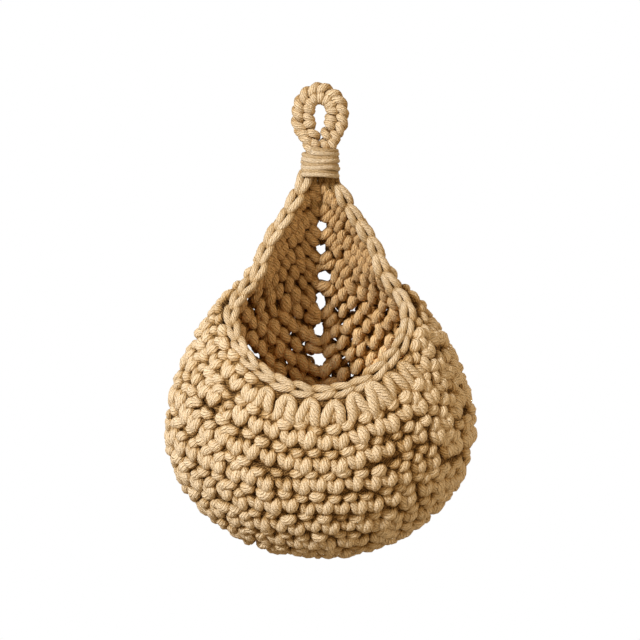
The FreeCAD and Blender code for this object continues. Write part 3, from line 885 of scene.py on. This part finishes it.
def make_row(number):
    shares = np.linspace(-ROW_REACH, ROW_REACH, ROW_STEPS)
    lines = (np.full(ROW_STEPS, number - 1.0 + up) for up in (0.0, 0.5, 1.0))
    low, middle, high = (surface(*row_spot(shares, line)) for line in lines)
    lengths = run_length(middle)
    lean = lean_of(low, middle, high, lengths)
    half = np.interp(1.0, shares, lengths) - lengths[ROW_MIDDLE] + UNDER_RIM
    count = max(1, int(round(half / PITCH)))
    paths = []
    for side in (-1, 1):

        def locate(along, up):
            run = leaned(lengths[ROW_MIDDLE] + half * side * along / count, up, lengths, lean)
            share = np.interp(run, lengths, shares)
            line = np.clip(number - 1 + up, 0.0 if number > 1 else ROW_UNDER, ROWS + ROW_OVER)
            angle, place = row_spot(share, line)
            return surface(angle, place), outward(angle, place)

        cords = [(course_path(count, locate, False), RING)]
        for up in ROW_FILLERS:
            cords.append((filler_path(count, locate, up, ROW_FILLER_OUT, ROW_FILLER_RADIUS), 2 * RING))
        for cord, step in cords:
            path = open_holes(smooth_path(cord, False, FINE_STEP), number)
            paths.append((relax(even_steps(path, step), False), False))
    return paths


# Eyelets up the middle of the back, by the row under them: way to the side, half-width and half-height
EYELETS = {
    1: (-1.0, 2.1, 3.6),
    2: (-1.0, 2.7, 4.6),
    3: (0.5, 3.0, 5.4),
    4: (2.4, 3.9, 3.9),
    5: (1.4, 2.5, 2.0),
    6: (1.0, 2.7, 2.1),
    7: (0.0, 1.2, 1.0),
}
# Small gaps between the stitches of the back: way to the side, height, half-width and half-height
SMALL_GAPS = [
    (12.5, 173.8, 0.5, 0.7),
    (19.6, 155.4, 0.5, 0.6),
    (-20.5, 155.0, 0.4, 0.5),
    (-17.0, 146.1, 0.4, 0.5),
    (9.5, 139.0, 0.5, 1.1),
    (20.0, 137.8, 0.6, 0.5),
    (12.5, 130.1, 0.6, 0.4),
    (-17.0, 124.2, 0.6, 1.0),
    (-31.8, 123.9, 0.6, 0.7),
    (-25.9, 117.6, 0.7, 0.6),
    (-10.7, 118.1, 0.5, 0.9),
    (8.8, 120.6, 0.7, 0.9),
    (19.6, 122.1, 0.6, 0.5),
    (28.2, 116.2, 1.0, 0.5),
    (14.3, 110.1, 0.8, 0.6),
    (-19.6, 107.3, 0.8, 1.1),
    (8.1, 98.9, 1.2, 1.6),
    (-12.1, 101.0, 0.8, 0.7),
]
# A hole pushes cords out to its edge and fades out past it. Cords further off in depth than this stay
HOLE_POWER = 5
HOLE_FADE = 3.5
FADE_POWER = 6
HOLE_DEPTH = 10.0


def open_hole(path, aside, height, wide, tall):
    """Pushes the cords beside a hole in the back aside, round the hole."""
    place = place_of(np.array([height]))
    angle = np.arcsin(aside / ring_sizes(place)[0])
    away = path[:, :3] - surface(angle, place)[0]
    hole = wide + CORD / 2
    stretch = (tall + CORD / 2) / hole
    x = away[:, 0]
    z = away[:, 2] / stretch
    r = np.hypot(x, z)
    grown = (r ** HOLE_POWER + hole ** HOLE_POWER) ** (1 / HOLE_POWER)
    fade = np.exp(-((r / (hole + HOLE_FADE)) ** FADE_POWER))
    push = (grown - r) * fade * (np.abs(away[:, 1]) < HOLE_DEPTH)
    turn = np.arctan2(z, x)
    path = path.copy()
    path[:, 0] += push * np.cos(turn)
    path[:, 2] += push * np.sin(turn) * stretch
    return path


def open_holes(path, number):
    """Opens the eyelets at the lines under and over a row, and the small gaps."""
    for line in (number - 1, number):
        if line in EYELETS:
            aside, wide, tall = EYELETS[line]
            path = open_hole(path, aside, row_ends(line)[0], wide, tall)
    for gap in SMALL_GAPS:
        path = open_hole(path, *gap)
    return path


for number in range(1, ROUNDS + 1):
    label = f"base_round_{number}" if number <= BASE_ROUNDS else f"wall_round_{number - BASE_ROUNDS}"
    piece("cord_" + label, make_round(number), "basket", label, fabric=True)
for number in range(1, ROWS + 1):
    label = f"back_row_{number}"
    piece("cord_" + label, make_row(number), "basket", label, fabric=True)


# The mouth's rim: a chain of interlocked links along the edge

RIM_STEPS = 400
# The rim's ends run on under the binding
RIM_LIFTS = np.linspace(0.5, 5.5, 11)
RIM_LIFT_WAY = np.array([-0.12, 0.0, 1.0])
# How far the chain faces forward, at two heights
FACING_HEIGHTS = [98.0, 125.0]
FACING_SHARES = [0.25, 0.8]
FORWARD = np.array([0.0, -1.0, 0.0])
MIRROR = np.array([-1.0, 1.0, 1.0])
# Each row: way along in links, way across and way out in mm, cord thickness share
CHAIN_POINTS = [
    (0.00, 0.0, -1.6, 0.90),
    (0.05, 1.5, -0.6, 0.90),
    (0.20, 2.5, 0.6, 1.00),
    (0.50, 2.5, 1.5, 1.08),
    (0.85, 1.8, 1.9, 1.06),
    (1.12, 0.9, 1.3, 0.95),
    (1.27, 0.3, -0.2, 0.88),
    (1.27, -0.3, -0.2, 0.88),
    (1.12, -0.9, 1.3, 0.95),
    (0.85, -1.8, 1.9, 1.06),
    (0.50, -2.5, 1.5, 1.08),
    (0.20, -2.5, 0.6, 1.00),
    (0.05, -1.5, -0.6, 0.90),
    (0.05, 0.0, -2.0, 0.90),
    (0.50, 0.0, -2.4, 0.95),
]
LINK = 11.4
RIM_RADIUS = 2.0
# How much the links vary
LINK_ALONG_SPREAD = 0.05
LINK_JITTER = 0.2
LINK_ASIDE_SPREAD = 0.35
LINK_THICKNESS_SPREAD = 0.07
# Painted shade: the chain is paler where it stands out and darker where it dips in
RIM_SHADE = 0.35
RIM_PALE = 2.6
# Two cords under the chain, darkened with painted shade
UNDER_ASIDE = (-1.5, 1.5)
UNDER_DEPTH = 1.2
UNDER_RADIUS = 1.7
UNDER_SHADE = 0.3
UNDER_STEPS = 160


def rim_track():
    share = np.linspace(0.0, 1.0, RIM_STEPS)
    points = rim_point(share)
    height = rim_height(share)
    normals = outward(rim_angle(height), place_of(height))
    points = np.vstack([points, points[-1] + RIM_LIFTS[:, None] * RIM_LIFT_WAY])
    normals = np.vstack([normals, np.repeat(normals[-1:], len(RIM_LIFTS), axis=0)])
    points = np.vstack([(points * MIRROR)[::-1], points[1:]])
    normals = np.vstack([(normals * MIRROR)[::-1], normals[1:]])
    facing = np.interp(points[:, 2] + EYE_TOP, FACING_HEIGHTS, FACING_SHARES)[:, None]
    return points, unit(normals * (1 - facing) + FORWARD * facing)


def track_frame(points, normals, shares):
    """Points, outward ways and sideways ways at shares of the length of a track."""
    lengths = run_length(points)
    wanted = shares * lengths[-1]

    def pick(values):
        return np.stack([np.interp(wanted, lengths, values[:, k]) for k in range(3)], axis=1)

    along = unit(pick(unit(np.gradient(points, axis=0))))
    out = pick(normals)
    out = unit(out - along * np.sum(out * along, axis=1, keepdims=True))
    return pick(points), out, np.cross(along, out)


def make_rim():
    points, normals = rim_track()
    count = int(round(run_length(points)[-1] / LINK))
    rows = []
    for link in range(count - 1):
        shape = np.array(CHAIN_POINTS)
        shape[:, 0] += link + LINK_ALONG_SPREAD * rng.normal()
        shape[:, 1:3] += rng.normal(0.0, LINK_JITTER, (len(shape), 2))
        shape[:, 1] += LINK_ASIDE_SPREAD * rng.normal()
        shape[:, 3] *= 1 + LINK_THICKNESS_SPREAD * rng.normal()
        rows.append(shape)
    cells = np.vstack(rows)
    place, out, side = track_frame(points, normals, cells[:, 0] / count)
    path = place + side * cells[:, 1:2] + out * cells[:, 2:3]
    # Painted shade by how far each point of the chain stands out
    raised = np.clip(RIM_SHADE + cells[:, 2:3] / RIM_PALE, 0.0, 1.0)
    path = np.hstack([path, cells[:, 3:4] * RIM_RADIUS, raised])
    paths = [(relax(smooth_path(path, False, RING), False), False)]
    place, out, side = track_frame(points, normals, np.linspace(0.0, 1.0, UNDER_STEPS))
    rest = np.tile([UNDER_RADIUS, UNDER_SHADE], (UNDER_STEPS, 1))
    for aside in UNDER_ASIDE:
        under = np.hstack([place + side * aside - out * UNDER_DEPTH, rest])
        paths.append((even_steps(under, 2 * RING), False))
    return paths


piece("cord_mouth_rim", make_rim(), "basket", "mouth_rim")


# The neck: a binding of two plies wound over a bundle of cords

BINDING_TURNS = 3.5
BINDING_TAIL = 0.5
BINDING_STEPS = 260
BINDING_RADIUS = 9.6
BINDING_BULGE = 0.35
BINDING_FOOT = 215.9
BINDING_RISE = 4.05
BINDING_CORD = 1.38
# The binding's level on the painted shade scale, paler than the fabric's tops
BINDING_SHADE = 1.1
# How the second ply differs from the first; it is also darker, with painted shade
PLY_INSET = 0.35
PLY_RISE = 2.05
PLY_DARKER = 0.35
# Waves of the binding's slack: size, rate by turn, start, and how far on the second ply starts
RADIUS_WAVE = (0.25, 0.9, 1.0, 2.0)
HEIGHT_WAVE = (0.5, 1.0, 0.6, 0.8)
HEIGHT_RIPPLE = (0.3, 2.3, 0.0, 0.0)
CORD_WAVE = (0.1, 1.7, 0.0, 1.0)
# The bundle: six cords round one, three of which run on down the back
CORE_RING = 6
CORE_REACH = 5.0
CORE_RADIUS = 2.3
# The bundle's cords are given a dark level of painted shade
CORE_SHADE = 0.4
CORE_STEPS = 24
CORE_SWAY = 0.4
CORE_FOOT = 217.0
CORE_TOP = 233.2
TAIL_CORDS = (0, 1, 5)
TAIL_FOOT = 198.0
TAIL_TOP = 216.0
TAIL_RUN = 16.0
TAIL_DRAWN = 0.2
TAIL_BACK = 6.0


def slack(turn, ply, size, rate, start, shift):
    return size * np.sin(rate * turn + start + shift * ply)


def make_binding():
    whole = TURN * BINDING_TURNS
    turn = np.linspace(-BINDING_TAIL, whole + BINDING_TAIL, BINDING_STEPS)
    bulge = BINDING_BULGE * np.sin(math.pi * np.clip(turn / whole, 0.0, 1.0))
    paths = []
    for ply in (0, 1):
        radius = BINDING_RADIUS - PLY_INSET * ply + slack(turn, ply, *RADIUS_WAVE) + bulge
        height = BINDING_FOOT + PLY_RISE * ply + BINDING_RISE * turn / TURN
        height = height + slack(turn, ply, *HEIGHT_WAVE) + slack(turn, ply, *HEIGHT_RIPPLE)
        thick = BINDING_CORD + slack(turn, ply, *CORD_WAVE)
        raised = np.full(BINDING_STEPS, BINDING_SHADE - PLY_DARKER * ply)
        columns = [radius * np.sin(turn), radius * np.cos(turn), height - EYE_TOP, thick, raised]
        paths.append((even_steps(np.stack(columns, axis=1), RING), False))
    return paths


def make_core():
    paths = []
    for number in range(CORE_RING + 1):
        reach = 0.0 if number == CORE_RING else CORE_REACH
        tail = number in TAIL_CORDS
        heights = np.linspace(TAIL_FOOT if tail else CORE_FOOT, CORE_TOP, CORE_STEPS)
        turn = TURN * number / CORE_RING + CORE_SWAY * np.linspace(0.0, 1.0, CORE_STEPS)
        back = np.clip((TAIL_TOP - heights) / TAIL_RUN, 0.0, 1.0) * tail
        x = reach * np.sin(turn) * (1 - TAIL_DRAWN * back)
        y = reach * np.cos(turn) + TAIL_BACK * back
        rest = np.tile([CORE_RADIUS, CORE_SHADE], (CORE_STEPS, 1))
        paths.append((np.hstack([np.stack([x, y, heights - EYE_TOP], axis=1), rest]), False))
    return paths


piece("cord_neck_binding", make_binding(), "basket", "neck_binding")
piece("cord_neck_core", make_core(), "basket", "neck_core")


# The hanging loop: a crocheted strap folded over

# The strap's middle line: half-width at hinge and crown, radius of its bends, straight part, hinge height
LOOP_LEG = 6.4
LOOP_REACH = 10.0
LOOP_BEND = 9.0
LOOP_STRAIGHT = 4.8
LOOP_HINGE = 238.175
BEND_STEPS = 30
CROWN_STEPS = 60
# The ends under the binding: way in from the leg, and way down from the hinge
LOOP_FOOT = ((0.8, 9.5), (0.2, 4.0))
LOOP_STEPS = 700
# Each column of stitches: way out of the eye, half-depth, half-width, pitch, strands and cord radius
LOOP_COLUMNS = [
    (-3.2, 2.7, 2.0, 5.0, 1, 2.15),
    (2.3, 2.3, 1.9, 9.6, 2, 2.25),
    (0.0, 0.0, 0.0, 9.0, 1, 2.6),
]
# The column at the eye bends in and out with height, and the legs are drawn together at the binding
EYE_HEIGHTS = [234.0, 241.0, 246.0, 251.0, 262.0]
EYE_BENDS = [0.6, 0.6, -0.4, -0.4, 0.8]
DRAWN_HEIGHTS = [229.0, 233.0, 240.0]
DRAWN_SHARES = [0.5, 0.66, 1.0]
# Slack in the strands: waves in their turns and in their ways out, and where the second strand starts
TURN_SLACK = 0.35
TURN_SLACK_RUN = 7.3
OUT_SLACK = 0.25
OUT_SLACK_RUN = 3.1
STRAND_START = 2.0
# Strands are thicker in front and behind, and painted paler there, with painted shade where they pass the
# sides
LOOP_SHADE = 0.45
LOOP_PALE = 0.55
LOOP_SWELL = 0.07


def loop_track():
    turn = math.acos(1 - (LOOP_REACH - LOOP_LEG) / (2 * LOOP_BEND))
    rise = 2 * LOOP_BEND * math.sin(turn)
    t = np.linspace(0.0, turn, BEND_STEPS)
    low_x = LOOP_LEG + LOOP_BEND - LOOP_BEND * np.cos(t)
    low = np.stack([low_x, LOOP_HINGE + LOOP_BEND * np.sin(t)], axis=1)
    t = t[::-1]
    high_x = LOOP_REACH - LOOP_BEND + LOOP_BEND * np.cos(t)
    high = np.stack([high_x, LOOP_HINGE + rise - LOOP_BEND * np.sin(t)], axis=1)
    t = np.linspace(0.0, math.pi / 2, CROWN_STEPS)
    crown_height = LOOP_HINGE + rise + LOOP_STRAIGHT
    crown = np.stack([LOOP_REACH * np.cos(t), crown_height + LOOP_REACH * np.sin(t)], axis=1)
    foot = np.array([(LOOP_LEG - inward, LOOP_HINGE - down) for inward, down in LOOP_FOOT])
    right = np.vstack([foot, low, high[1:], crown])
    left = right[::-1][1:] * np.array([-1.0, 1.0])
    return np.vstack([right, left])


def make_loop():
    flat = loop_track()
    lengths = run_length(flat)
    tangent = unit(np.gradient(flat, lengths, axis=0))
    run = np.linspace(0.0, lengths[-1], LOOP_STEPS)
    x, z, out_z, out_x = (np.interp(run, lengths, v) for v in (*flat.T, *(tangent * [-1.0, 1.0]).T))
    drawn = np.interp(z, DRAWN_HEIGHTS, DRAWN_SHARES)
    paths = []
    for aside, deep, wide, pitch, strands, thick in LOOP_COLUMNS:
        bend = np.interp(z, EYE_HEIGHTS, EYE_BENDS) if aside < 0 else 0.0
        for strand in range(strands):
            turn = TURN * (run / pitch + strand / strands)
            turn = turn + TURN_SLACK * np.sin(run / TURN_SLACK_RUN + STRAND_START * strand)
            shift = aside + bend + wide * np.cos(turn) + OUT_SLACK * np.sin(run / OUT_SLACK_RUN)
            # Painted shade: paler in front and behind; the straight middle cord gets the darkest
            raised = LOOP_SHADE + LOOP_PALE * np.abs(np.sin(turn)) if wide else np.zeros(LOOP_STEPS)
            radius = thick * (1 + LOOP_SWELL * np.sin(turn) ** 2)
            spots = [(x + out_x * shift) * drawn, -deep * np.sin(turn), z + out_z * shift - EYE_TOP]
            path = np.stack([*spots, radius, raised], axis=1)
            paths.append((even_steps(path, RING), False))
    return paths


loop = piece("cord_hanging_loop", make_loop(), None, "hanging_loop")
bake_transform(loop)


# Light, world and camera, in metres

# The sky lights the basket in a warm tone, and is white where it is seen
SKY = (1.0, 0.70, 0.37, 1)
SKY_STRENGTH = 0.38
WHITE = (1, 1, 1, 1)
AIM = (0, 0, -0.15)
# Each light: name, place, size, power and colour
LIGHTS = [
    ("key", (-0.93, -0.85, 0.45), 0.22, 21.6, (1.0, 0.99, 0.975)),
    ("fill", (0.9, -0.9, 0.2), 0.9, 5.5, (1.0, 0.80, 0.54)),
    ("back", (0.3, 1.4, 0.3), 1.0, 16.0, (1.0, 0.95, 0.86)),
]
SENSOR = 36.0
LENS = 128.0
CAMERA_TILT = math.radians(4.0)
CAMERA_DISTANCE = 1.3
CAMERA_LEVEL = -0.1226

scene = bpy.context.scene
scene.view_settings.view_transform = "Standard"


def make_world():
    world = bpy.data.worlds.new("world")
    scene.world = world
    world.use_nodes = True
    tree = world.node_tree
    tree.nodes.clear()
    add = tree.nodes.new
    link = tree.links.new
    sky = add("ShaderNodeBackground")
    sky.inputs[0].default_value = SKY
    sky.inputs[1].default_value = SKY_STRENGTH
    white = add("ShaderNodeBackground")
    white.inputs[0].default_value = WHITE
    white.inputs[1].default_value = 1.0
    rays = add("ShaderNodeLightPath")
    seen = add("ShaderNodeMath")
    seen.operation = "MAXIMUM"
    link(rays.outputs["Is Camera Ray"], seen.inputs[0])
    link(rays.outputs["Is Glossy Ray"], seen.inputs[1])
    shown = add("ShaderNodeMath")
    shown.operation = "MAXIMUM"
    link(seen.outputs[0], shown.inputs[0])
    link(rays.outputs["Is Transmission Ray"], shown.inputs[1])
    mix = add("ShaderNodeMixShader")
    link(shown.outputs[0], mix.inputs[0])
    link(sky.outputs[0], mix.inputs[1])
    link(white.outputs[0], mix.inputs[2])
    out = add("ShaderNodeOutputWorld")
    link(mix.outputs[0], out.inputs[0])


def area_light(name, spot, size, power, colour):
    lamp = bpy.data.lights.new(name, "AREA")
    lamp.size = size
    lamp.energy = power
    lamp.color = colour
    thing = bpy.data.objects.new(name, lamp)
    scene.collection.objects.link(thing)
    thing.location = spot
    thing.rotation_euler = (Vector(AIM) - Vector(spot)).to_track_quat("-Z", "Y").to_euler()


make_world()
for light in LIGHTS:
    area_light(*light)

camera = bpy.data.cameras.new("camera")
camera.sensor_width = SENSOR
camera.lens = LENS
eye = bpy.data.objects.new("camera", camera)
scene.collection.objects.link(eye)
eye_y = -CAMERA_DISTANCE * math.cos(CAMERA_TILT)
eye_z = CAMERA_LEVEL + CAMERA_DISTANCE * math.sin(CAMERA_TILT)
eye.location = (0.0, eye_y, eye_z)
eye.rotation_euler = (math.pi / 2 - CAMERA_TILT, 0.0, 0.0)
scene.camera = eye
